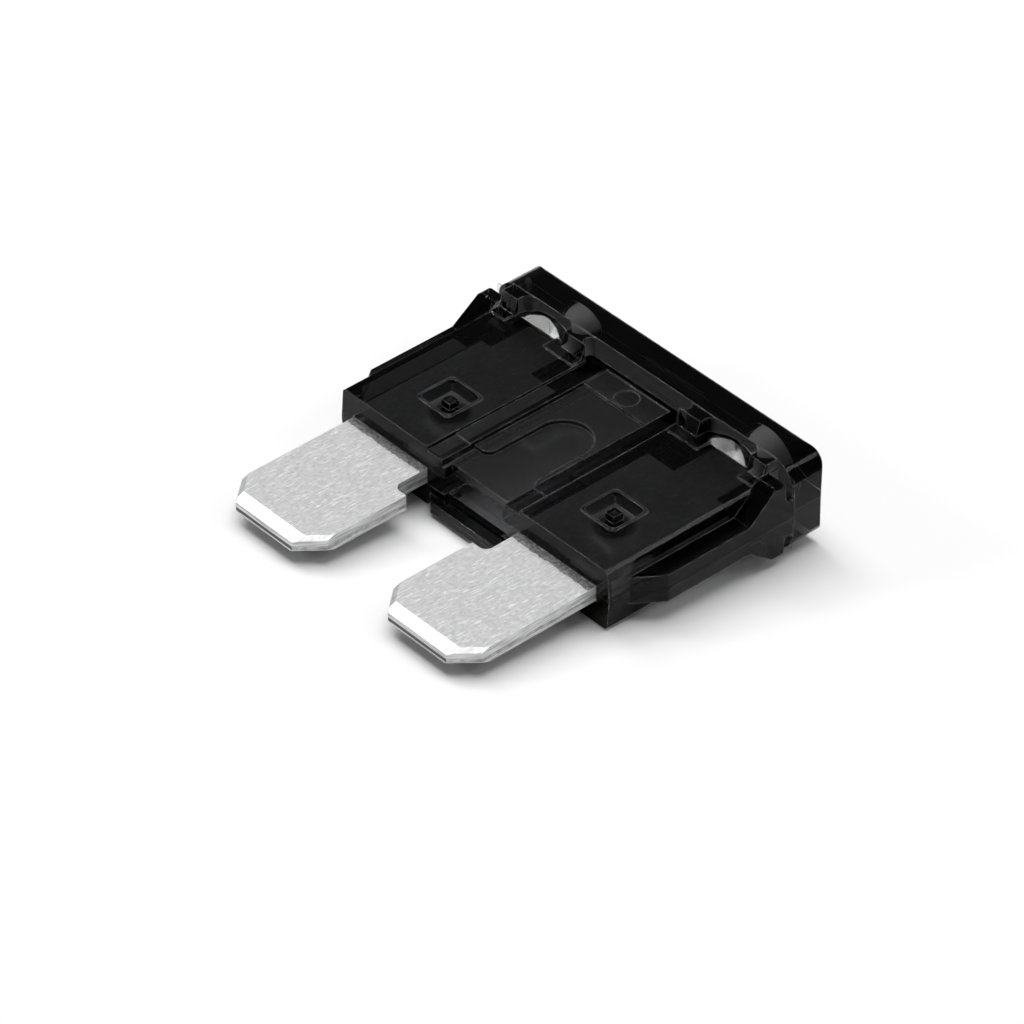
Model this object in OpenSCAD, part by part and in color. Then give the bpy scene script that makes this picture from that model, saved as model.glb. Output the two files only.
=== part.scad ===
// Automotive blade fuse: a one-piece moulded housing with a see-through window
// and a stamped zinc element whose two flat blades leave it at the front.
// X runs across the two blades, Y from the blade tips to the head, Z is the thickness.

/* [Head] */
// Width of the head at its seam
head_w = 18.8; // [18:0.1:19.4]
// Thickness of the head
head_t = 4.9; // [4.2:0.1:5.6]
// Length of the head from its front face to its back
head_l = 1.9; // [1.6:0.1:2.4]
// Radius of the head's four long corners, seen from its back
head_corner = 1.4; // [0.8:0.05:1.8]
// Radius of the edges round the back of the head
head_r = 0.35; // [0.1:0.05:0.5]

/* [Body] */
// Width of the body at its seam
body_w = 17.15; // [16.6:0.05:17.5]
// Thickness of the body
body_t = 3.12; // [2.8:0.02:3.4]
// Length of the body from its front face to the head
body_l = 9.8; // [9.2:0.1:11]
// Mould draft: what each side face loses from the seam to the broad face
draft = 0.13; // [0:0.01:0.2]
// Chamfer on the long edges of the body
body_c = 0.12; // [0.04:0.02:0.2]

/* [Side flanges] */
// Width across the two flanges
flange_w = 19.1; // [18.7:0.1:19.8]
// Thickness of a flange
flange_t = 1.4; // [1:0.1:1.8]
// Distance from the front of the body to the root of a flange
flange_start = 1.2; // [0.8:0.1:1.8]
// Length of the oblique front end of a flange
flange_nose = 1.35; // [0.8:0.05:1.6]
// Thickness across a shoulder, where the flange meets the head
shoulder_t = 3.8; // [3.6:0.1:4.2]
// Length of the flat part of a shoulder
shoulder_l = 1.05; // [0.8:0.05:1.4]
// Length of the ramp in front of a shoulder
shoulder_ramp = 1.55; // [1:0.05:1.8]
// Radius of the outer edge of a shoulder
shoulder_r = 0.35; // [0.2:0.05:0.8]
// Width of the groove between a shoulder and the head
groove_w = 0.5; // [0.3:0.05:0.7]
// Depth of the groove, from the outside of the flange
groove_d = 1.1; // [0.6:0.1:1.2]
// Height at which the bottom of the groove lies
groove_z = 0.9; // [0.75:0.05:1.2]

/* [Webs in front of the head] */
// Thickness across the webs
web_t = 4.76; // [4:0.02:4.9]
// Distance from the middle of the fuse to an inner web
web_in_x = 3; // [2.7:0.05:3.2]
// Width of an inner web
web_in_w = 1.3; // [1:0.05:1.5]
// Distance from the middle of the fuse to an outer web
web_out_x = 7.4; // [7.2:0.05:7.5]
// Width of an outer web
web_out_w = 0.95; // [0.7:0.05:1.1]
// Length of the flat top of a web
web_top = 0.65; // [0.4:0.05:0.8]
// Length of the sloping front of a web
web_front = 0.25; // [0.15:0.05:0.4]
// Length of the low plate on which a web stands
plate_l = 1.4; // [1.3:0.05:1.8]
// Height of the low plate
plate_h = 0.1; // [0.04:0.02:0.16]
// How far the plate of an inner web stands out beside it
plate_side = 0.6; // [0.3:0.05:0.8]
// Radius of the hollow between a web and the head
web_fillet = 0.4; // [0.2:0.05:0.6]
// Radius of the round notch in the inner side of an inner web, next to the head
web_notch = 0.32; // [0.2:0.02:0.4]

/* [Window] */
// Width of the window between its two ribs
window_w = 4; // [3.6:0.1:4.2]
// Depth of the window below the broad face
window_d = 0.36; // [0.2:0.02:0.5]
// Distance from the front of the body to the front edge of the window
window_start = 0.5; // [0.3:0.05:0.8]
// Distance from the head to the step at the back of the window
window_step_l = 1.6; // [1.2:0.1:2]
// Height of the step at the back of the window
window_step = 0.12; // [0.05:0.01:0.2]
// Length of the bar between the window and the head
window_bar = 0.25; // [0.15:0.05:0.4]
// Width of the arched recess in the window
arch_w = 2.7; // [2.2:0.1:3]
// Distance from the front of the body to the top of the arched recess
arch_top = 6.35; // [5:0.05:7]
// Depth of the arched recess
arch_d = 0.2; // [0.1:0.02:0.24]
// Sideways place of the arched recess
arch_x = 0.2; // [0:0.05:0.3]
// Length of the shallow strip in front of the arch's feet
arch_strip = 1.4; // [0.8:0.1:1.8]
// Radius where an arch's foot flares into the strip
arch_flare = 0.45; // [0.2:0.05:0.6]
// Width of a rib beside the window
rib_w = 0.95; // [0.7:0.05:1]
// Depth of a rib below the cover over a blade
rib_d = 0.14; // [0.04:0.02:0.18]
// Extra depth of the front end of a rib
rib_step = 0.06; // [0.02:0.02:0.1]
// Distance from the front of the body to the step in a rib
rib_step_l = 1.65; // [1:0.05:2.4]
// Diameter of the round ejector mark at the back of the window
mark_d = 1.15; // [0.8:0.05:1.4]
// Depth of the ejector mark
mark_depth = 0.06; // [0.02:0.02:0.1]

/* [Mouth] */
// Thickness of the skin under the window
skin_t = 0.5; // [0.4:0.05:0.6]
// How far the lower skin stands back from the front of the body
lower_back = 0.3; // [0.1:0.05:0.5]
// Height of the lip along the lower front edge
lip_h = 0.34; // [0.2:0.02:0.45]
// Distance from the front of the body to the back wall of the link chamber
chamber_l = 8.9; // [8:0.1:9.1]

/* [Stake dimples] */
// Distance between the two stake dimples
stake_pitch = 10.45; // [9.8:0.05:10.8]
// Sideways place of the pair of dimples
stake_shift = 0.37; // [0:0.01:0.4]
// Distance from the front of the body to the dimples
stake_y = 3; // [2.6:0.05:3.6]
// Width of a dimple at its rim
dimple_w = 1.9; // [1.6:0.1:2.1]
// Radius of a dimple's corners
dimple_r = 0.3; // [0.2:0.05:0.4]
// Depth of a dimple
dimple_d = 0.42; // [0.3:0.02:0.5]
// How far a wall of a dimple leans in from its rim to its floor
dimple_lean = 0.22; // [0.1:0.02:0.3]
// Width of the square stub in the middle of a dimple
stub_w = 0.55; // [0.4:0.05:0.7]
// How far the top of the stub lies below the cover
stub_low = 0.08; // [0.04:0.02:0.16]
// Width of the raised rim round a dimple
rim_w = 0.12; // [0.08:0.02:0.2]
// Height of the raised rim round a dimple
rim_h = 0.06; // [0.02:0.02:0.1]
// Diameter of the plastic stake that passes through a blade
stake_d = 1.1; // [0.8:0.05:1.4]

/* [Element] */
// Width of a blade
blade_w = 5.63; // [5.2:0.01:5.7]
// Thickness of a blade
blade_t = 0.77; // [0.6:0.01:0.85]
// Gap between the two blades
blade_gap = 4.24; // [4.15:0.01:4.6]
// Length of a blade in front of the body
blade_l = 7.45; // [6.6:0.05:8]
// Width of the corner chamfer at a blade tip
tip_w = 0.97; // [0.6:0.01:1.2]
// Length of the corner chamfer at a blade tip
tip_l = 1.15; // [0.8:0.05:1.5]
// Length of the coined bevel at a blade tip
bevel_l = 0.58; // [0.4:0.02:0.8]
// Depth of the coined bevel on the upper face
bevel_d = 0.2; // [0.1:0.01:0.26]
// Depth of the coined bevel on the lower face
bevel_under = 0.08; // [0.04:0.01:0.2]
// Width of the narrow bevel along a corner chamfer
corner_bevel_w = 0.24; // [0.1:0.02:0.3]
// Depth of the narrow bevel along a corner chamfer
corner_bevel_d = 0.14; // [0.06:0.02:0.18]
// Width of the notch at the inner edge of a blade, next to the body
notch_w = 0.82; // [0.5:0.02:0.9]
// Length of the notch in front of the body
notch_l = 1.9; // [1.4:0.1:2.2]
// Radius in the corner of the notch
notch_r = 0.4; // [0.2:0.05:0.45]
// Length of the wide part of a blade inside the body
shank_l = 7.4; // [6.8:0.1:8]
// Width of the tab under a test point
tab_w = 2.6; // [2.2:0.1:2.8]
// Sideways place of a tab, from the middle of the fuse
tab_x = 5.87; // [5.7:0.01:6]
// How far the tip of a tab reaches into the head
tab_in = 0.37; // [0.3:0.01:0.5]
// Height of the rounded end of a tab
tab_round = 0.62; // [0.4:0.02:0.8]
// Width of the fusible link
link_w = 0.35; // [0.3:0.05:0.5]
// Thickness of the fusible link
link_t = 0.2; // [0.16:0.01:0.3]
// Mean radius of the bow of the fusible link
link_r = 1; // [0.8:0.05:1.15]
// Distance from the front of the body to the feet of the fusible link
link_y = 4.2; // [3.6:0.1:5]
// Length of the straight legs of the fusible link
link_leg = 1.2; // [0.6:0.1:1.6]
// Width of the link at its melting point
link_neck = 0.2; // [0.15:0.05:0.25]

/* [Test points] */
// Diameter of the round test point opening in the back of the head
port_d = 2.4; // [2:0.1:2.6]
// How far a test point opening reaches in front of the head
port_in = 0.2; // [0.1:0.05:0.3]
// Radius of the half round boss over a test point
boss_r = 2; // [1.8:0.05:2.1]
// Length of a boss at its foot, in front of the head
boss_l = 0.65; // [0.5:0.05:0.8]
// Length of the free space beside a tab
relief_l = 0.95; // [0.5:0.05:1.1]

/* [Fits] */
// Clearance round the element inside the housing
fit = 0.05; // [0.03:0.01:0.1]
// Clearance round a stake in its hole
stake_fit = 0.05; // [0.03:0.01:0.1]

/* [Hidden] */
$fn = 48;
eps = 0.01;
overall_l = blade_l + body_l + head_l;
body_y = blade_l;
head_y = blade_l + body_l;
blade_x = blade_gap / 2;
cover_z = body_t / 2;
window_z = body_t / 2 - window_d;
arch_z = window_z - arch_d;
chamber_z = arch_z - skin_t;
slot_z = blade_t / 2 + fit;
stakes = [stake_shift - stake_pitch / 2, stake_shift + stake_pitch / 2];
tab_l = body_l - shank_l + tab_in - tab_round;

// Puts a drawing made in X and Z between two places along Y.
module along_y(from, to) {
    translate([0, to, 0]) rotate([90, 0, 0]) linear_extrude(to - from) children();
}

// Puts a drawing made in Y and Z between two places along X.
module along_x(from, to) {
    translate([from, 0, 0]) rotate([90, 0, 90]) linear_extrude(to - from) children();
}

// Rectangle about the middle with round corners.
module round_rect(w, h, r) {
    square([w - 2 * r, h], center = true);
    square([w, h - 2 * r], center = true);
    for (sx = [-1, 1], sy = [-1, 1]) translate([sx * (w / 2 - r), sy * (h / 2 - r)]) circle(r);
}

// Gives a cross section in X and Z its draft on both sides of the seam.
module drafted(w, t) {
    intersection() {
        children();
        polygon([[w / 2, 0], [w / 2 - draft, t / 2], [draft - w / 2, t / 2],
                 [-w / 2, 0], [draft - w / 2, -t / 2], [w / 2 - draft, -t / 2]]);
    }
}

// Copies what it is given to the left side.
module both_sides() {
    children();
    mirror([1, 0, 0]) children();
}

// Copies what it is given to the lower broad face.
module both_faces() {
    children();
    mirror([0, 0, 1]) children();
}

// The head: a bar with round corners and a crisp front edge.
module head() {
    intersection() {
        along_y(head_y, overall_l) drafted(head_w, head_t) round_rect(head_w, head_t, head_corner);
        along_x(-flange_w, flange_w)
            translate([head_y + head_l / 2 - head_r, 0]) round_rect(head_l + 2 * head_r, head_t, head_r);
        translate([0, head_y + head_l / 2 - head_r, -head_t]) linear_extrude(2 * head_t)
            round_rect(head_w, head_l + 2 * head_r, head_r);
    }
}

// The drafted block of the body, up to the head.
module body_block() {
    half = body_w / 2;
    top = body_t / 2;
    edge = half - draft * (top - body_c) / top;
    face = half - draft - body_c;
    along_y(body_y, head_y + eps)
        polygon([[half, 0], [edge, top - body_c], [face, top], [-face, top], [-edge, top - body_c],
                 [-half, 0], [-edge, body_c - top], [-face, -top], [face, -top], [edge, body_c - top]]);
}

// Flange, ramp and shoulder on the right side.
module shoulder() {
    root_x = body_w / 2 - 2 * draft;
    intersection() {
        union() {
            translate([0, 0, -flange_t / 2]) linear_extrude(flange_t)
                polygon([[root_x, body_y + flange_start - 0.25], [body_w / 2, body_y + flange_start],
                         [flange_w / 2, body_y + flange_start + flange_nose],
                         [flange_w / 2, head_y + eps], [root_x, head_y + eps]]);
            along_x(root_x, flange_w / 2)
                polygon([[head_y - shoulder_l - shoulder_ramp, flange_t / 2],
                         [head_y - shoulder_l, shoulder_t / 2], [head_y + eps, shoulder_t / 2],
                         [head_y + eps, -shoulder_t / 2], [head_y - shoulder_l, -shoulder_t / 2],
                         [head_y - shoulder_l - shoulder_ramp, -flange_t / 2]]);
        }
        along_y(body_y, head_y + eps)
            drafted(flange_w, shoulder_t) round_rect(flange_w, shoulder_t, shoulder_r);
    }
}

// A web between the body and the front face of the head, on its low plate.
module web(x, w, plate_w) {
    foot = head_y - web_top - web_front;
    along_x(x, x + w)
        polygon([[foot, 0], [foot, cover_z], [head_y - web_top, web_t / 2],
                 [head_y + eps, web_t / 2], [head_y + eps, 0]]);
    translate([x, head_y - plate_l, 0]) cube([plate_w, plate_l + eps, cover_z + plate_h]);
}

// The hollow quarter round between a web's side and the head.
module web_hollow(x, side) {
    linear_extrude(web_t / 2)
        difference() {
            translate([side > 0 ? x - eps : x - web_fillet, head_y - web_fillet])
                square([web_fillet + eps, web_fillet + eps]);
            translate([x + side * web_fillet, head_y - web_fillet]) circle(web_fillet);
        }
}

// Round bottomed groove between a shoulder and the head.
module groove() {
    along_x(flange_w / 2 - groove_d, flange_w) translate([head_y - groove_w / 2, 0]) {
        translate([0, groove_z + groove_w / 2]) circle(groove_w / 2);
        translate([-groove_w / 2, groove_z + groove_w / 2]) square([groove_w, head_t]);
    }
}

// Half round boss over a test point, with a sloping front.
module boss() {
    foot = head_y - boss_l;
    intersection() {
        translate([tab_x, 0, 0]) along_y(foot - eps, head_y + eps) circle(boss_r);
        along_x(0, flange_w)
            polygon([[foot, 0], [foot, cover_z], [foot + boss_r - cover_z, boss_r],
                     [head_y + eps, boss_r], [head_y + eps, 0]]);
    }
}

// Raised rim round a stake dimple.
module dimple_rim(x) {
    translate([x, body_y + stake_y, 0]) linear_extrude(cover_z + rim_h)
        round_rect(dimple_w + 2 * rim_w, dimple_w + 2 * rim_w, 2 * rim_w);
}

// Hollow of a stake dimple: four leaning walls round a square stub.
module dimple(x) {
    translate([x, body_y + stake_y, 0]) difference() {
        intersection() {
            along_x(-dimple_w, dimple_w) dimple_profile();
            along_y(-dimple_w, dimple_w) dimple_profile();
            linear_extrude(head_t) round_rect(dimple_w, dimple_w, dimple_r);
        }
        translate([-stub_w / 2, -stub_w / 2, 0]) cube([stub_w, stub_w, cover_z - stub_low]);
    }
}

module dimple_profile() {
    top = cover_z + rim_h + eps;
    floor_w = dimple_w / 2 - dimple_lean;
    polygon([[-floor_w, cover_z - dimple_d], [floor_w, cover_z - dimple_d],
             [dimple_w / 2, cover_z], [dimple_w / 2, top],
             [-dimple_w / 2, top], [-dimple_w / 2, cover_z]]);
}

// Plan of the arched recess with its flared feet and the strip in front of it.
module arch_plan() {
    front = body_y + window_start;
    foot = front + arch_strip;
    crown = body_y + arch_top - arch_w / 2;
    translate([arch_x, crown]) circle(arch_w / 2);
    translate([arch_x - arch_w / 2, front - eps]) square([arch_w, crown - front + eps]);
    intersection() {
        translate([-window_w / 2, front - 1]) square([window_w, foot - front + 1 + arch_flare]);
        difference() {
            translate([arch_x - arch_w / 2 - arch_flare, front - 1])
                square([arch_w + 2 * arch_flare, foot - front + 1 + arch_flare]);
            for (s = [-1, 1])
                translate([arch_x + s * (arch_w / 2 + arch_flare), foot + arch_flare]) circle(arch_flare);
        }
    }
    translate([-window_w / 2, front - 1]) square([window_w, foot - front + 1]);
}

// What is cut from one broad face of the window.
module window_cut() {
    front = body_y + window_start;
    step = head_y - window_step_l;
    top = body_t;
    // Main panel of the window
    translate([-window_w / 2, front - 1, window_z]) cube([window_w, step - front + 1, top]);
    // Higher panel behind the step
    translate([-window_w / 2, step - eps, window_z + window_step])
        cube([window_w, window_step_l - window_bar + eps, top]);
    // Arched recess
    translate([0, 0, arch_z]) linear_extrude(top) arch_plan();
    // Ejector mark
    translate([0, head_y - (window_step_l + window_bar) / 2, window_z + window_step - mark_depth])
        cylinder(h = top, d = mark_d);
}

// What is cut between the two covers down to the ribs beside the window.
module rib_cut() {
    w = window_w + 2 * rib_w;
    translate([-w / 2, body_y - 1, body_t / 2 - rib_d]) cube([w, body_l + 1, body_t / 2]);
    // Lower front end of each rib
    translate([-w / 2, body_y - 1, body_t / 2 - rib_d - rib_step])
        cube([w, 1 + rib_step_l, body_t / 2]);
}

// Plan of the pocket that takes the right side of the element.
module pocket_plan() {
    inner = blade_x + notch_w - fit;
    outer = blade_x + blade_w + fit;
    translate([inner, body_y - 1]) square([outer - inner, shank_l + 1 + fit]);
    translate([tab_x - tab_w / 2 - fit, body_y]) square([tab_w + 2 * fit, shank_l + tab_l + fit]);
    translate([inner, body_y]) square([tab_x - inner, shank_l + relief_l]);
    translate([0, fit]) tab_end(tab_w + 2 * fit);
}

// Rounded end of a tab: an arc through the two corners of the tab.
module tab_end(w) {
    r = (w * w / 4 + tab_round * tab_round) / (2 * tab_round);
    base = body_y + shank_l + tab_l;
    intersection() {
        translate([tab_x, base + tab_round - r]) circle(r);
        translate([tab_x - w / 2, base - 0.5]) square([w, tab_round + 1]);
    }
}

// Round opening from the back of the head down to the tab.
module port_cut() {
    translate([tab_x, 0, 0]) along_y(head_y - port_in, overall_l + 1) circle(port_d / 2);
}

// Chamber for the fusible link, open between the blades at the front.
module chamber_cut() {
    w = window_w - 2 * arch_flare / 3;
    translate([-w / 2, body_y - 1, -chamber_z]) cube([w, chamber_l + 1, 2 * chamber_z]);
    // Passage from the chamber to the pocket of each blade
    translate([-blade_x - notch_w, body_y - 1, -slot_z])
        cube([2 * (blade_x + notch_w), link_y + link_leg + 2.5, 2 * slot_z]);
    // The upper skin stands back to the window's front edge
    translate([-w / 2, body_y - 1, 0]) cube([w, 1 + window_start, body_t]);
    // The lower skin stands back above its lip
    translate([-w / 2, body_y - 1, lip_h - body_t / 2])
        cube([w, 1 + lower_back, body_t / 2]);
}

// Moulded housing: head, body, flanges and the stakes that hold the element.
module housing() {
    color([0.13, 0.13, 0.14]) translate([0, -overall_l / 2, head_t / 2]) {
        difference() {
            union() {
                head();
                body_block();
                both_sides() shoulder();
                both_faces() both_sides() {
                    web(web_in_x, web_in_w, web_in_w + plate_side);
                    web(web_out_x, web_out_w, web_out_w);
                    web_hollow(web_in_x + web_in_w, 1);
                    web_hollow(web_out_x, -1);
                    boss();
                }
            }
            window_cut();
            mirror([0, 0, 1]) window_cut_under();
            both_faces() rib_cut();
            both_faces() for (x = stakes) dimple_room(x);
            both_sides() translate([0, 0, -slot_z]) linear_extrude(2 * slot_z) pocket_plan();
            both_sides() port_cut();
            both_faces() both_sides() {
                groove();
                translate([web_in_x, head_y - web_notch, body_t / 2 - rib_d])
                    cylinder(h = head_t, r = web_notch);
            }
            chamber_cut();
        }
        both_faces() for (x = stakes) dimple_ring(x);
        for (x = stakes) stake(x);
    }
}

// The lower face has the same window behind its lip.
module window_cut_under() {
    intersection() {
        window_cut();
        translate([-window_w, body_y + window_start, 0]) cube([2 * window_w, body_l, head_t]);
    }
}

// Space for a dimple in the cover.
module dimple_room(x) {
    translate([x, body_y + stake_y, 0]) linear_extrude(head_t)
        round_rect(dimple_w + rim_w, dimple_w + rim_w, rim_w);
}

// Ring of plastic pushed up round a dimple, with the funnel and its pad.
module dimple_ring(x) {
    difference() {
        intersection() {
            dimple_rim(x);
            translate([x - dimple_w, body_y + stake_y - dimple_w, slot_z])
                cube([2 * dimple_w, 2 * dimple_w, head_t]);
        }
        dimple(x);
    }
}

// Plastic stake through the hole in a blade.
module stake(x) {
    translate([x, body_y + stake_y, -cover_z + dimple_d])
        cylinder(h = 2 * (cover_z - dimple_d), d = stake_d);
}

// Plan of the right half of the element: blade, notch, shank and tab.
module blade_plan() {
    x0 = blade_x;
    x1 = blade_x + blade_w;
    step = body_y - notch_l;
    difference() {
        union() {
            polygon([[x0 + tip_w, 0], [x1 - tip_w, 0], [x1, tip_l], [x1, body_y + shank_l],
                     [x0 + notch_w, body_y + shank_l], [x0 + notch_w, step + notch_r],
                     [x0 + notch_w - notch_r, step], [x0, step], [x0, tip_l]]);
            translate([tab_x - tab_w / 2, body_y + shank_l - 1]) square([tab_w, tab_l + 1]);
            tab_end(tab_w);
        }
        translate([x0 + notch_w - notch_r, step + notch_r]) circle(notch_r);
    }
}

// Everything outside the coined bevels of the blade tips.
module bevels() {
    along_x(-flange_w, flange_w) {
        polygon([[-1, blade_t], [-1, blade_t / 2 - bevel_d], [0, blade_t / 2 - bevel_d],
                 [bevel_l, blade_t / 2], [bevel_l, blade_t]]);
        polygon([[-1, -blade_t], [-1, bevel_under - blade_t / 2], [0, bevel_under - blade_t / 2],
                 [bevel_l, -blade_t / 2], [bevel_l, -blade_t]]);
    }
}

// Everything outside the narrow bevels along the corner chamfers of the right blade's tip.
module corner_bevels() {
    top = blade_t / 2;
    low = top - corner_bevel_d;
    translate([blade_x + blade_w / 2, 0, 0]) both_faces() both_sides()
        translate([blade_w / 2 - tip_w, 0, 0]) rotate([0, 0, -atan2(tip_w, tip_l)])
            along_y(-tip_l, 2 * tip_l)
                polygon([[-corner_bevel_w, top], [0, low], [1, low], [1, blade_t],
                         [-corner_bevel_w, blade_t]]);
}

// Plan of the link: two feet, two legs, a bow and a narrow melting point.
module link_plan() {
    inner = blade_x + notch_w;
    foot = body_y + link_y;
    top = foot + link_leg + link_w;
    difference() {
        union() {
            for (s = [-1, 1]) {
                translate([s > 0 ? link_r - link_w / 2 : -inner - 0.5, foot])
                    square([inner + 0.5 - link_r + link_w / 2, link_w]);
                translate([s * link_r - link_w / 2, foot]) square([link_w, link_leg + link_w]);
            }
            difference() {
                translate([0, top]) circle(link_r + link_w / 2);
                translate([-2 * link_r, foot - link_r]) square([4 * link_r, top - foot + link_r]);
            }
        }
        translate([0, top]) circle(link_r - link_w / 2);
        translate([0, top + link_r + link_w / 2]) circle((link_w - link_neck) / 2);
        translate([0, top + link_r - link_w / 2]) circle((link_w - link_neck) / 2);
    }
}

// Stamped element: two blades joined by the fusible link.
module fuse_element() {
    color([0.78, 0.79, 0.8]) translate([0, -overall_l / 2, head_t / 2]) {
        difference() {
            union() {
                both_sides() translate([0, 0, -blade_t / 2]) linear_extrude(blade_t) blade_plan();
                translate([0, 0, -link_t / 2]) linear_extrude(link_t) link_plan();
            }
            bevels();
            both_sides() corner_bevels();
            for (x = stakes)
                translate([x, body_y + stake_y, -blade_t]) cylinder(h = 2 * blade_t, d = stake_d + 2 * stake_fit);
        }
    }
}

housing();
fuse_element();
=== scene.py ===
# %% [markdown]
# # A plug-in blade fuse
#
# The real object is about as long as a thumb is wide. A stamped strip of zinc makes two flat
# blades and the thin link between them, and a housing of smoke-black see-through plastic is
# moulded to hold it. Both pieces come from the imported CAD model, so their shapes are finished.
# What is left for Blender is the looks: a dark plastic that lets a little light through, a matt
# metal with drawing marks and sheared edges, a pale floor, soft light and the camera.

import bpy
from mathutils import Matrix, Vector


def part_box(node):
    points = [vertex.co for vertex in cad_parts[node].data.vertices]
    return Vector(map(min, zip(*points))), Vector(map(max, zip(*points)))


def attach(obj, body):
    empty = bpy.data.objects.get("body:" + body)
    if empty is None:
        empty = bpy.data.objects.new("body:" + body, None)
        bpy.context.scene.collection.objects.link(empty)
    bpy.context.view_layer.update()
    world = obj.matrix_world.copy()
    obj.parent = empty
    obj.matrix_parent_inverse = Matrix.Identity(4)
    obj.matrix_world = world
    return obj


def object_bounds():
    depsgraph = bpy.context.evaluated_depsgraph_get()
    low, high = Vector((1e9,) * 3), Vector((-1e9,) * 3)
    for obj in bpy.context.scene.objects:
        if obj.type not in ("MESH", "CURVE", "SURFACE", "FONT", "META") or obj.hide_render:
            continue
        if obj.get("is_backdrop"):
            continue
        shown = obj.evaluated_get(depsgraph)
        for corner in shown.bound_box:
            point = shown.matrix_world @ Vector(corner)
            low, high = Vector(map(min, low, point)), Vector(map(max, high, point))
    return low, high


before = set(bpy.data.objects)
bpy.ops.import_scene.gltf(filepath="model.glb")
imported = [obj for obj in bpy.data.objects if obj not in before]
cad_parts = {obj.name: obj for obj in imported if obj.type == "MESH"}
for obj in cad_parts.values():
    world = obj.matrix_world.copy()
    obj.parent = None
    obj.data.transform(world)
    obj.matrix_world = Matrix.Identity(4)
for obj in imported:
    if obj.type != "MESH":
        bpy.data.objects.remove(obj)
cad_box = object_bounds()

# %% [markdown]
# Sizes are written in millimetres, as on a drawing, and turned into Blender's metres by one
# factor. The two CAD nodes are the housing and the fuse element.

# %% Tools
import math

import bmesh
import bpy
from mathutils import Matrix, Vector

MM = 0.001
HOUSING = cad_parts["housing"]
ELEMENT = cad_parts["fuse_element"]
low, high = (Vector(corner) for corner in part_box("housing"))
print("housing from", tuple(round(v / MM, 2) for v in low), "to", tuple(round(v / MM, 2) for v in high))

# %% [markdown]
# A material here is a small graph of shader nodes. Every one starts the same way: an empty node
# tree with one Principled shader, and the object's own coordinates in metres, so that a pattern
# keeps its real scale however the piece is seen.

# %% Start a material
def new_material(name):
    material = bpy.data.materials.new(name)
    material.use_nodes = True
    tree = material.node_tree
    tree.nodes.clear()
    output = tree.nodes.new("ShaderNodeOutputMaterial")
    shader = tree.nodes.new("ShaderNodeBsdfPrincipled")
    tree.links.new(shader.outputs["BSDF"], output.inputs["Surface"])
    place = tree.nodes.new("ShaderNodeTexCoord").outputs["Object"]
    return material, tree, shader, output, place


def noise(tree, place, size, detail=3.0, stretch=(1.0, 1.0, 1.0), turn=0.0):
    if turn:
        turned = tree.nodes.new("ShaderNodeMapping")
        turned.inputs["Rotation"].default_value = (0.0, 0.0, turn)
        tree.links.new(place, turned.inputs["Vector"])
        place = turned.outputs["Vector"]
    mapping = tree.nodes.new("ShaderNodeMapping")
    mapping.inputs["Scale"].default_value = [s / size for s in stretch]
    tree.links.new(place, mapping.inputs["Vector"])
    grain = tree.nodes.new("ShaderNodeTexNoise")
    grain.inputs["Scale"].default_value = 1.0
    grain.inputs["Detail"].default_value = detail
    tree.links.new(mapping.outputs["Vector"], grain.inputs["Vector"])
    return grain.outputs["Fac"]


def spread(tree, value, low_in, high_in, low_out, high_out):
    ramp = tree.nodes.new("ShaderNodeMapRange")
    ramp.inputs["From Min"].default_value = low_in
    ramp.inputs["From Max"].default_value = high_in
    ramp.inputs["To Min"].default_value = low_out
    ramp.inputs["To Max"].default_value = high_out
    tree.links.new(value, ramp.inputs["Value"])
    return ramp.outputs["Result"]


def round_edges(tree, radius, samples=4):
    node = tree.nodes.new("ShaderNodeBevel")
    node.samples = samples
    node.inputs["Radius"].default_value = radius
    return node.outputs["Normal"]


def bump(tree, shader, height, distance, strength=1.0, edges=None):
    node = tree.nodes.new("ShaderNodeBump")
    if edges is not None:
        tree.links.new(edges, node.inputs["Normal"])
    node.inputs["Distance"].default_value = distance
    node.inputs["Strength"].default_value = strength
    tree.links.new(height, node.inputs["Height"])
    tree.links.new(node.outputs["Normal"], shader.inputs["Normal"])
    return node

# %% [markdown]
# Patterns are mixed as plain numbers first and turned into a colour last. These helpers do the
# sums: a blend of two values, a band around one height, and the parts of a position.

# %% Sums with nodes
def connect(tree, value, socket):
    if isinstance(value, (int, float)):
        socket.default_value = value
    else:
        tree.links.new(value, socket)


def sum_node(tree, operation, *values):
    node = tree.nodes.new("ShaderNodeMath")
    node.operation = operation
    for socket, value in zip(node.inputs, values):
        connect(tree, value, socket)
    return node.outputs["Value"]


def blend(tree, first, second, share):
    node = tree.nodes.new("ShaderNodeMix")
    node.data_type = "FLOAT"
    connect(tree, share, node.inputs[0])
    connect(tree, first, node.inputs[2])
    connect(tree, second, node.inputs[3])
    return node.outputs[0]


def split(tree, vector):
    parts = tree.nodes.new("ShaderNodeSeparateXYZ")
    tree.links.new(vector, parts.inputs["Vector"])
    return parts.outputs["X"], parts.outputs["Y"], parts.outputs["Z"]


def band(tree, value, middle, half, soft):
    away = sum_node(tree, "ABSOLUTE", sum_node(tree, "SUBTRACT", value, middle))
    return spread(tree, away, half - soft / 2, half + soft / 2, 1.0, 0.0)


# Mask of the rounded edges, used for the painted edge highlights and for the zinc's burr.
def edge_highlight_mask(tree, radius):
    geometry = tree.nodes.new("ShaderNodeNewGeometry")
    compare = tree.nodes.new("ShaderNodeVectorMath")
    compare.operation = "DOT_PRODUCT"
    tree.links.new(round_edges(tree, radius, 6), compare.inputs[0])
    tree.links.new(geometry.outputs["True Normal"], compare.inputs[1])
    return spread(tree, compare.outputs["Value"], 0.8, 0.97, 1.0, 0.0)
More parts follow.
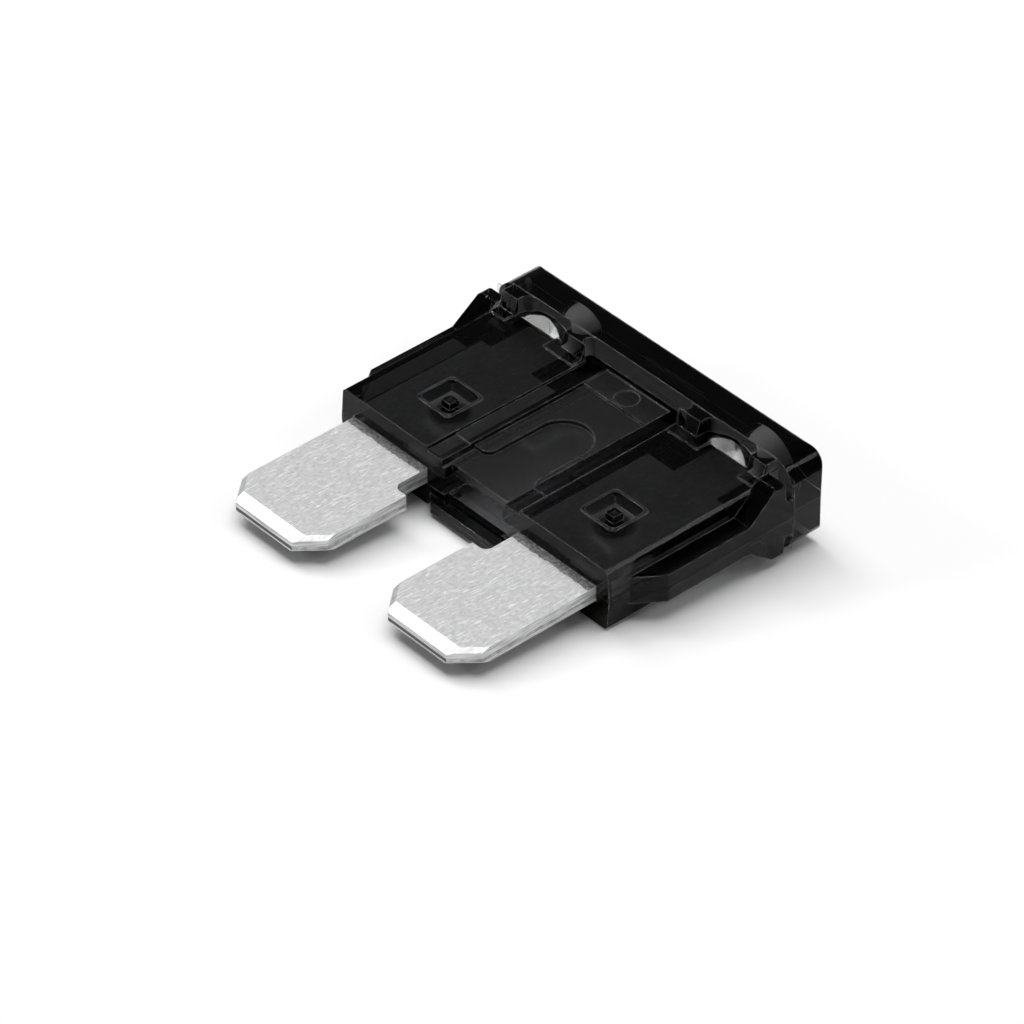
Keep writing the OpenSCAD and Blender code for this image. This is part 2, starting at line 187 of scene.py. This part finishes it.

# %% [markdown]
# The housing is moulded in a smoke-black polycarbonate. It is clear inside, but so dark that a
# millimetre takes most of the light away, so the metal only just shows through. A see-through
# shader with absorption in its volume does that by itself: thick walls go black, the thin window
# stays lighter, and the blades shine faintly through their covers. The two halves of the mould
# leave a fine parting line round the outside, and the core that shapes the chamber behind the
# window is not polished, so the link behind it is only a blur. Polycarbonate has an index of
# about 1.58. The one here is lower, because a high one mirrors the white floor in the front and
# side faces, which are nearly black in the photograph. The window's faces are a little cloudy.
# The edges carry a painted highlight: a thin rim along every edge is made cloudy and broken up
# by noise, so that the lamps draw it as a fine pale line.

# %% Smoke-black plastic
ABSORPTION = 1560.0
EDGE_RADIUS = 0.05 * MM
PLASTIC_IOR = 1.24
SEAM_Z = 2.45 * MM
HEAD_SEAM_Z = 2.6 * MM
BODY_FRONT_Y = -2.125 * MM
HEAD_FRONT_Y = 7.675 * MM
CHAMBER_HALF_W = 1.88 * MM
CHAMBER_HALF_T = 0.51 * MM
CHAMBER_FRONT_Y = BODY_FRONT_Y + 0.6 * MM
WINDOW_HALF_W = 2.0 * MM
WINDOW_FACE = 1.15 * MM
HAZE_SHARE = 0.015
EDGE_HIGHLIGHT_SHARE = 0.42
FROST_ROUGHNESS = 0.4


def parting_line(tree, place):
    _, y, z = split(tree, place)
    height = spread(tree, y, HEAD_FRONT_Y - 0.02 * MM, HEAD_FRONT_Y, SEAM_Z, HEAD_SEAM_Z)
    return band(tree, z, height, 0.02 * MM, 0.03 * MM)


def chamber_frost(tree, place):
    x, y, z = split(tree, place)
    across = band(tree, x, 0.0, CHAMBER_HALF_W, 0.02 * MM)
    through = band(tree, z, SEAM_Z, CHAMBER_HALF_T, 0.01 * MM)
    inside = spread(tree, y, CHAMBER_FRONT_Y, CHAMBER_FRONT_Y + 0.1 * MM, 0.0, 1.0)
    return sum_node(tree, "MULTIPLY", sum_node(tree, "MULTIPLY", across, through), inside)


def window_haze(tree, place):
    x, _, z = split(tree, place)
    across = band(tree, x, 0.0, WINDOW_HALF_W, 0.02 * MM)
    from_seam = sum_node(tree, "ABSOLUTE", sum_node(tree, "SUBTRACT", z, SEAM_Z))
    panel = band(tree, from_seam, WINDOW_FACE, 0.2 * MM, 0.02 * MM)
    return sum_node(tree, "MULTIPLY", across, panel)


def smoke_plastic(name, absorption):
    material, tree, shader, output, place = new_material(name)
    shader.inputs["Base Color"].default_value = (0.92, 0.92, 0.93, 1.0)
    shader.inputs["IOR"].default_value = PLASTIC_IOR
    # Painted highlight: a cloudy rim along every edge, broken up by noise, which the lamps draw as a
    # fine pale line.
    highlight_breakup = spread(tree, noise(tree, place, 0.5 * MM, 3.0), 0.35, 0.65, 0.3, 1.0)
    edge_highlight = sum_node(tree, "MULTIPLY", edge_highlight_mask(tree, EDGE_RADIUS), highlight_breakup)
    edge_highlight = sum_node(tree, "MULTIPLY", edge_highlight, EDGE_HIGHLIGHT_SHARE)
    haze_and_highlight = sum_node(tree, "MULTIPLY_ADD", window_haze(tree, place), HAZE_SHARE, edge_highlight)
    tree.links.new(sum_node(tree, "SUBTRACT", 1.0, haze_and_highlight), shader.inputs["Transmission Weight"])
    mould_marks = spread(tree, noise(tree, place, 0.9 * MM, 4.0), 0.3, 0.7, 0.015, 0.06)
    roughness = blend(tree, mould_marks, FROST_ROUGHNESS, chamber_frost(tree, place))
    tree.links.new(roughness, shader.inputs["Roughness"])
    soft_edges = round_edges(tree, EDGE_RADIUS)
    seam = bump(tree, shader, parting_line(tree, place), 0.02 * MM, 0.8, soft_edges)
    ripple = noise(tree, place, 1.6 * MM, 2.0)
    bump(tree, shader, ripple, 0.01 * MM, 0.3, seam.outputs["Normal"])
    inside = tree.nodes.new("ShaderNodeVolumeAbsorption")
    inside.inputs["Color"].default_value = (0.05, 0.05, 0.055, 1.0)
    inside.inputs["Density"].default_value = absorption
    tree.links.new(inside.outputs["Volume"], output.inputs["Volume"])
    return material


plastic = smoke_plastic("smoke_plastic", ABSORPTION)
print("made", plastic.name)

# %% [markdown]
# The element is blanked from zinc strip. The rolled faces are matt and pale, with short drawing
# marks along the blades and a few bright scratches across them. The sheared sides are streaked
# along their length, with a dark torn band low down; on the faces toward the tips that band is
# made fully dark, a painted reflection of the shade under the blade. Every edge is painted bright,
# partly a real burr and partly a painted highlight. Next to the housing a painted dark strip runs
# across each blade, for the contact shade and the dark reflection of the body. Three places inside
# the housing hardly show in the photograph, so they are painted dark here as shade, though the
# real metal is most likely as pale there: just inside the front face, round each stake, and the
# thin link.

# %% Stamped zinc
CONTACT_SHADE_L = 0.42 * MM
SHADED_L = 0.65 * MM
TORN_Z = SEAM_Z - 0.13 * MM
STAKES = ((-4.855 * MM, 0.875 * MM), (5.595 * MM, 0.875 * MM))
STAKE_SHADE_R = 0.95 * MM
LINK_HALF_W = 2.85 * MM
BURR_HIGHLIGHT_RADIUS = 0.06 * MM
ROLLED_RADIUS = 0.05 * MM
METALLIC_SHARE = 0.5


def scratches(tree, place, width, length, turn, low_in, high_in):
    lines = noise(tree, place, width, 2.0, (1.0, width / length, width / length), turn)
    return spread(tree, lines, low_in, high_in, 0.0, 1.0)


def rolled_face(tree, place):
    drawn = noise(tree, place, 0.045 * MM, 3.0, (1.0, 0.14, 1.0))
    drawn = spread(tree, drawn, 0.35, 0.65, -0.06, 0.06)
    mottle = spread(tree, noise(tree, place, 0.2 * MM, 4.0), 0.3, 0.7, -0.05, 0.05)
    along = scratches(tree, place, 0.05 * MM, 0.6 * MM, 0.06, 0.58, 0.66)
    across = scratches(tree, place, 0.045 * MM, 0.4 * MM, 1.15, 0.64, 0.74)
    tone = sum_node(tree, "ADD", sum_node(tree, "ADD", drawn, mottle), 0.66)
    tone = sum_node(tree, "MULTIPLY_ADD", along, 0.24, tone)
    return sum_node(tree, "MULTIPLY_ADD", across, 0.12, tone)


def sheared_side(tree, place, toward_tip):
    _, _, z = split(tree, place)
    streaks = noise(tree, place, 0.05 * MM, 2.0, (0.04, 0.04, 1.0))
    streaks = spread(tree, streaks, 0.35, 0.65, 0.42, 0.85)
    torn = band(tree, z, TORN_Z, 0.09 * MM, 0.04 * MM)
    patchy = spread(tree, noise(tree, place, 0.3 * MM, 3.0), 0.4, 0.6, 0.3, 0.6)
    # The torn band is patchy on the sides, as torn metal is, and fully dark on faces toward the tip,
    # there a painted reflection of the shade under the blade.
    tear_and_tip_shade = blend(tree, patchy, 1.0, spread(tree, toward_tip, 0.85, 0.95, 0.0, 1.0))
    return blend(tree, streaks, 0.08, sum_node(tree, "MULTIPLY", torn, tear_and_tip_shade))


# Painted shade: a dark disc round a stake.
def stake_shade(tree, place, centre):
    x, y, _ = split(tree, place)
    off_x = sum_node(tree, "SUBTRACT", x, centre[0])
    off_y = sum_node(tree, "SUBTRACT", y, centre[1])
    squares = sum_node(tree, "MULTIPLY_ADD", off_x, off_x, sum_node(tree, "MULTIPLY", off_y, off_y))
    return spread(tree, sum_node(tree, "SQRT", squares), 0.8 * STAKE_SHADE_R, 1.1 * STAKE_SHADE_R, 0.9, 0.0)


def stamped_zinc():
    material, tree, shader, _, place = new_material("stamped_zinc")
    shader.inputs["Metallic"].default_value = METALLIC_SHARE
    x, y, _ = split(tree, place)
    facing = tree.nodes.new("ShaderNodeNewGeometry").outputs["True Normal"]
    _, along, up = split(tree, facing)
    flat = spread(tree, sum_node(tree, "ABSOLUTE", up), 0.3, 0.6, 0.0, 1.0)
    face = rolled_face(tree, place)
    side = sheared_side(tree, place, sum_node(tree, "MULTIPLY", along, -1.0))
    ragged = spread(tree, noise(tree, place, 0.25 * MM, 3.0), 0.3, 0.7, -0.06 * MM, 0.06 * MM)
    # Painted shade: a dark strip in front of the housing, for the contact shade and the dark reflection
    # of the body.
    strip = BODY_FRONT_Y - CONTACT_SHADE_L / 2
    contact_shade = band(tree, sum_node(tree, "ADD", y, ragged), strip, CONTACT_SHADE_L / 2, 0.05 * MM)
    shade_tone = spread(tree, noise(tree, place, 0.12 * MM, 4.0), 0.35, 0.65, 0.12, 0.34)
    face = blend(tree, face, shade_tone, contact_shade)
    tone = blend(tree, side, face, flat)
    # Bright edges: partly a real burr, partly a painted highlight.
    burr_and_highlight = sum_node(tree, "MULTIPLY", edge_highlight_mask(tree, BURR_HIGHLIGHT_RADIUS), 0.9)
    tone = blend(tree, tone, 0.97, burr_and_highlight)
    # Painted shade round each stake.
    for centre in STAKES:
        tone = blend(tree, tone, 0.05, stake_shade(tree, place, centre))
    # Painted shade on the thin link inside the housing.
    inner = band(tree, x, 0.0, LINK_HALF_W, 0.1 * MM)
    behind = spread(tree, y, BODY_FRONT_Y, BODY_FRONT_Y + 0.1 * MM, 0.0, 1.0)
    tone = blend(tree, tone, 0.08, sum_node(tree, "MULTIPLY", inner, behind))
    # Painted shade just inside the front face of the housing.
    shaded = band(tree, y, BODY_FRONT_Y + SHADED_L / 2, SHADED_L / 2, 0.06 * MM)
    tone = blend(tree, tone, 0.05, shaded)
    ramp = tree.nodes.new("ShaderNodeValToRGB")
    ramp.color_ramp.elements[0].color = (0.0, 0.0, 0.0, 1.0)
    ramp.color_ramp.elements[1].color = (0.99, 0.99, 1.0, 1.0)
    tree.links.new(tone, ramp.inputs["Fac"])
    tree.links.new(ramp.outputs["Color"], shader.inputs["Base Color"])
    mottle = noise(tree, place, 0.16 * MM, 4.0)
    tree.links.new(spread(tree, mottle, 0.3, 0.7, 0.36, 0.48), shader.inputs["Roughness"])
    bump(tree, shader, tone, 0.012 * MM, 0.5, round_edges(tree, ROLLED_RADIUS))
    return material


zinc = stamped_zinc()
print("made", zinc.name)

# %% [markdown]
# The shapes of both nodes stay as the CAD made them. Only what they wear changes: each node's
# material slots get the material that was made for it.

# %% Give both nodes their materials
for node, material in ((HOUSING, plastic), (ELEMENT, zinc)):
    for material_slot in node.material_slots:
        material_slot.material = material
    print(node.name, "wears", material.name, "in", len(node.material_slots), "slots")

# %% [markdown]
# The lower skin of the mouth ends in a small lip with slanting ends, which stands out in front of
# the body and keeps a finger off the link. It could be one block, but the mouth is open above the
# skin, so a wide front part is joined to a narrow root that fills the mouth's lower edge. A lip
# this thin would let the white floor shine through, which the photograph's doesn't, so it wears
# the same plastic with more absorption.

# %% Lip under the mouth
LIP_LOW_Z, LIP_TOP_Z = 1.09 * MM, 1.69 * MM
LIP_OUT = 0.48 * MM
LIP_HALF_W = 2.2 * MM
LIP_END = 0.6 * MM
LIP_ROOT_LOW_Z = 1.245 * MM
LIP_ROOT_HALF_W = 1.84 * MM
LIP_ROOT_L = 0.29 * MM
LIP_GAP = 0.004 * MM
LIP_ROUND = 0.04 * MM
LIP_ABSORPTION = 6000.0


def prism(name, outline, z_low, z_high):
    plan = bmesh.new()
    face = plan.faces.new([plan.verts.new((x, y, z_low)) for x, y in outline])
    grown = bmesh.ops.extrude_face_region(plan, geom=[face])
    top = [item for item in grown["geom"] if isinstance(item, bmesh.types.BMVert)]
    bmesh.ops.translate(plan, verts=top, vec=(0.0, 0.0, z_high - z_low))
    bmesh.ops.recalc_face_normals(plan, faces=plan.faces)
    mesh = bpy.data.meshes.new(name)
    plan.to_mesh(mesh)
    plan.free()
    piece = bpy.data.objects.new(name, mesh)
    bpy.context.collection.objects.link(piece)
    return piece


def mouth_lip():
    back = BODY_FRONT_Y - LIP_GAP
    front = BODY_FRONT_Y - LIP_OUT
    wide = LIP_HALF_W + LIP_END
    plan = [(-wide, back), (-LIP_HALF_W, front), (LIP_HALF_W, front), (wide, back)]
    lip = prism("mouth_lip", plan, LIP_LOW_Z, LIP_TOP_Z)
    root_front = BODY_FRONT_Y - LIP_OUT / 2
    root_back = BODY_FRONT_Y + LIP_ROOT_L
    half = LIP_ROOT_HALF_W
    plan = [(-half, root_front), (half, root_front), (half, root_back), (-half, root_back)]
    root = prism("lip_root", plan, LIP_ROOT_LOW_Z, LIP_TOP_Z)
    join = lip.modifiers.new("join", "BOOLEAN")
    join.operation = "UNION"
    join.solver = "EXACT"
    join.object = root
    soften = lip.modifiers.new("soften", "BEVEL")
    soften.width = LIP_ROUND
    soften.segments = 2
    finished = lip.evaluated_get(bpy.context.evaluated_depsgraph_get())
    mesh = bpy.data.meshes.new_from_object(finished)
    lip.modifiers.clear()
    lip.data = mesh
    bpy.data.objects.remove(root)
    lip.data.materials.clear()
    lip.data.materials.append(smoke_plastic("lip_plastic", LIP_ABSORPTION))
    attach(lip, "root")
    return lip


lip = mouth_lip()
print("lip with", len(lip.data.polygons), "faces")

# %% [markdown]
# The fuse lies on its broad side. The head is its thickest part, so the real one rests on the
# lower edge of the head and on the front edge of the body, a few degrees off level. The floor
# takes that small tilt, so that the shadow falls much as it does in the photograph.

# %% Floor
FLOOR_TILT = math.radians(-4.9)
FLOOR_HALF = 3.0
FLOOR_DROP = 0.00001


def white_floor():
    material, _, shader, _, _ = new_material("white_floor")
    shader.inputs["Base Color"].default_value = (0.985, 0.985, 0.985, 1.0)
    shader.inputs["Roughness"].default_value = 0.9
    shader.inputs["Specular IOR Level"].default_value = 0.0
    return material


def lay_floor():
    mesh = bpy.data.meshes.new("floor")
    corners = [(-FLOOR_HALF, -FLOOR_HALF, 0), (FLOOR_HALF, -FLOOR_HALF, 0),
               (FLOOR_HALF, FLOOR_HALF, 0), (-FLOOR_HALF, FLOOR_HALF, 0)]
    mesh.from_pydata(corners, [], [(0, 1, 2, 3)])
    floor = bpy.data.objects.new("floor", mesh)
    bpy.context.collection.objects.link(floor)
    floor.data.materials.append(white_floor())
    floor.location = (0, HEAD_FRONT_Y, -FLOOR_DROP)
    floor.rotation_euler = (FLOOR_TILT, 0, 0)
    floor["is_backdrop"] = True
    return floor


floor = lay_floor()
print("floor at", tuple(round(v, 5) for v in floor.location))

# %% [markdown]
# Black plastic is drawn by its reflections. The broad faces mirror what stands behind the fuse,
# and they are black in the photograph, so the world is dim to reflections and to lamps' light. It
# is white only where it is seen straight or through the plastic. A large soft lamp hangs overhead
# and a smaller one high on the left, where the bevels of the blade tips mirror it. Two small ones,
# on the left in front and behind on the right, draw the bright lines along the edges.

# %% Lamps
def soft_lamp(name, power, size, place, aim=(0, 0, 0.002)):
    data = bpy.data.lights.new(name, "AREA")
    data.shape = "RECTANGLE"
    data.size, data.size_y = size
    data.energy = power
    lamp = bpy.data.objects.new(name, data)
    lamp.location = place
    direction = Vector(aim) - Vector(place)
    lamp.rotation_euler = direction.to_track_quat("-Z", "Y").to_euler()
    bpy.context.collection.objects.link(lamp)
    return lamp


lamps = [
    soft_lamp("overhead", 12.5, (1.15, 1.05), (-0.02, 0.16, 1.28)),
    soft_lamp("left_high", 4.2, (0.5, 0.5), (-0.70, 0.03, 0.98)),
    soft_lamp("left_front", 0.9, (0.11, 0.11), (-0.67, -0.725, 0.60)),
    soft_lamp("right_back", 0.7, (0.25, 0.25), (0.62, 0.55, 0.70)),
]
print("lamps", [lamp.name for lamp in lamps])

# %% [markdown]
# The world is two plain backgrounds. Light and reflections get the dim one, and rays from the
# camera and rays that come out of the plastic get the white one.

# %% World
WORLD_DIM = 0.12


def plain_background(tree, strength):
    background = tree.nodes.new("ShaderNodeBackground")
    background.inputs["Color"].default_value = (1.0, 1.0, 1.0, 1.0)
    background.inputs["Strength"].default_value = strength
    return background.outputs["Background"]


def pale_world(strength):
    world = bpy.data.worlds.new("pale_world")
    world.use_nodes = True
    tree = world.node_tree
    tree.nodes.clear()
    output = tree.nodes.new("ShaderNodeOutputWorld")
    path = tree.nodes.new("ShaderNodeLightPath")
    seen = sum_node(tree, "MAXIMUM", path.outputs["Is Camera Ray"],
                    path.outputs["Is Transmission Ray"])
    choose = tree.nodes.new("ShaderNodeMixShader")
    tree.links.new(seen, choose.inputs[0])
    tree.links.new(plain_background(tree, strength), choose.inputs[1])
    tree.links.new(plain_background(tree, 1.0), choose.inputs[2])
    tree.links.new(choose.outputs["Shader"], output.inputs["Surface"])
    return world


bpy.context.scene.world = pale_world(WORLD_DIM)
print("world ready")

# %% [markdown]
# The camera was found by fitting the edges of a plain model of the fuse to the photograph: a long
# lens about a quarter of a metre away, looking down at thirty-nine degrees from the right front.

# %% Camera
AZIMUTH = math.radians(48.11)
ELEVATION = math.radians(38.57)
ROLL = math.radians(0.14)
DISTANCE = 259.7 * MM
AIM = Vector((0.124, 0.002, 1.143)) * MM
FOCAL_PIXELS = 6065.9
PICTURE_PIXELS = 1024
SENSOR_W = 36.0


def place_camera():
    data = bpy.data.cameras.new("camera")
    data.sensor_width = SENSOR_W
    data.lens = data.sensor_width * FOCAL_PIXELS / PICTURE_PIXELS
    data.clip_start = 0.01
    data.clip_end = 20.0
    camera = bpy.data.objects.new("camera", data)
    back = Vector((math.sin(AZIMUTH) * math.cos(ELEVATION),
                   -math.cos(AZIMUTH) * math.cos(ELEVATION), math.sin(ELEVATION)))
    right = Vector((math.cos(AZIMUTH), math.sin(AZIMUTH), 0.0))
    up = back.cross(right)
    rolled_right = math.cos(ROLL) * right + math.sin(ROLL) * up
    rolled_up = math.cos(ROLL) * up - math.sin(ROLL) * right
    turn = Matrix((rolled_right, rolled_up, back)).transposed()
    camera.matrix_world = Matrix.Translation(AIM + back * DISTANCE) @ turn.to_4x4()
    bpy.context.collection.objects.link(camera)
    bpy.context.scene.camera = camera
    return camera


camera = place_camera()
print("camera at", tuple(round(v / MM, 1) for v in camera.location), "mm")

# %% [markdown]
# Light has to pass many faces to get through a see-through housing with a chamber in it, so the
# number of bounces is raised. Indirect light is capped, which takes a little stray lamp light out
# of the dark plastic. Last come the two boxes, the solids' and the finished model's.

# %% Picture settings and the two boxes
scene = bpy.context.scene
scene.view_settings.view_transform = "Standard"
scene.cycles.max_bounces = 24
scene.cycles.transmission_bounces = 16
scene.cycles.diffuse_bounces = 4
scene.cycles.glossy_bounces = 6
scene.cycles.caustics_refractive = True
scene.cycles.caustics_reflective = False
scene.cycles.sample_clamp_indirect = 1.0
boxes = {"cad": [list(corner) for corner in cad_box],
         "visual": [list(corner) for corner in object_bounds()]}
for name, box in boxes.items():
    print(name, "box in mm", [[round(v / MM, 2) for v in corner] for corner in box])
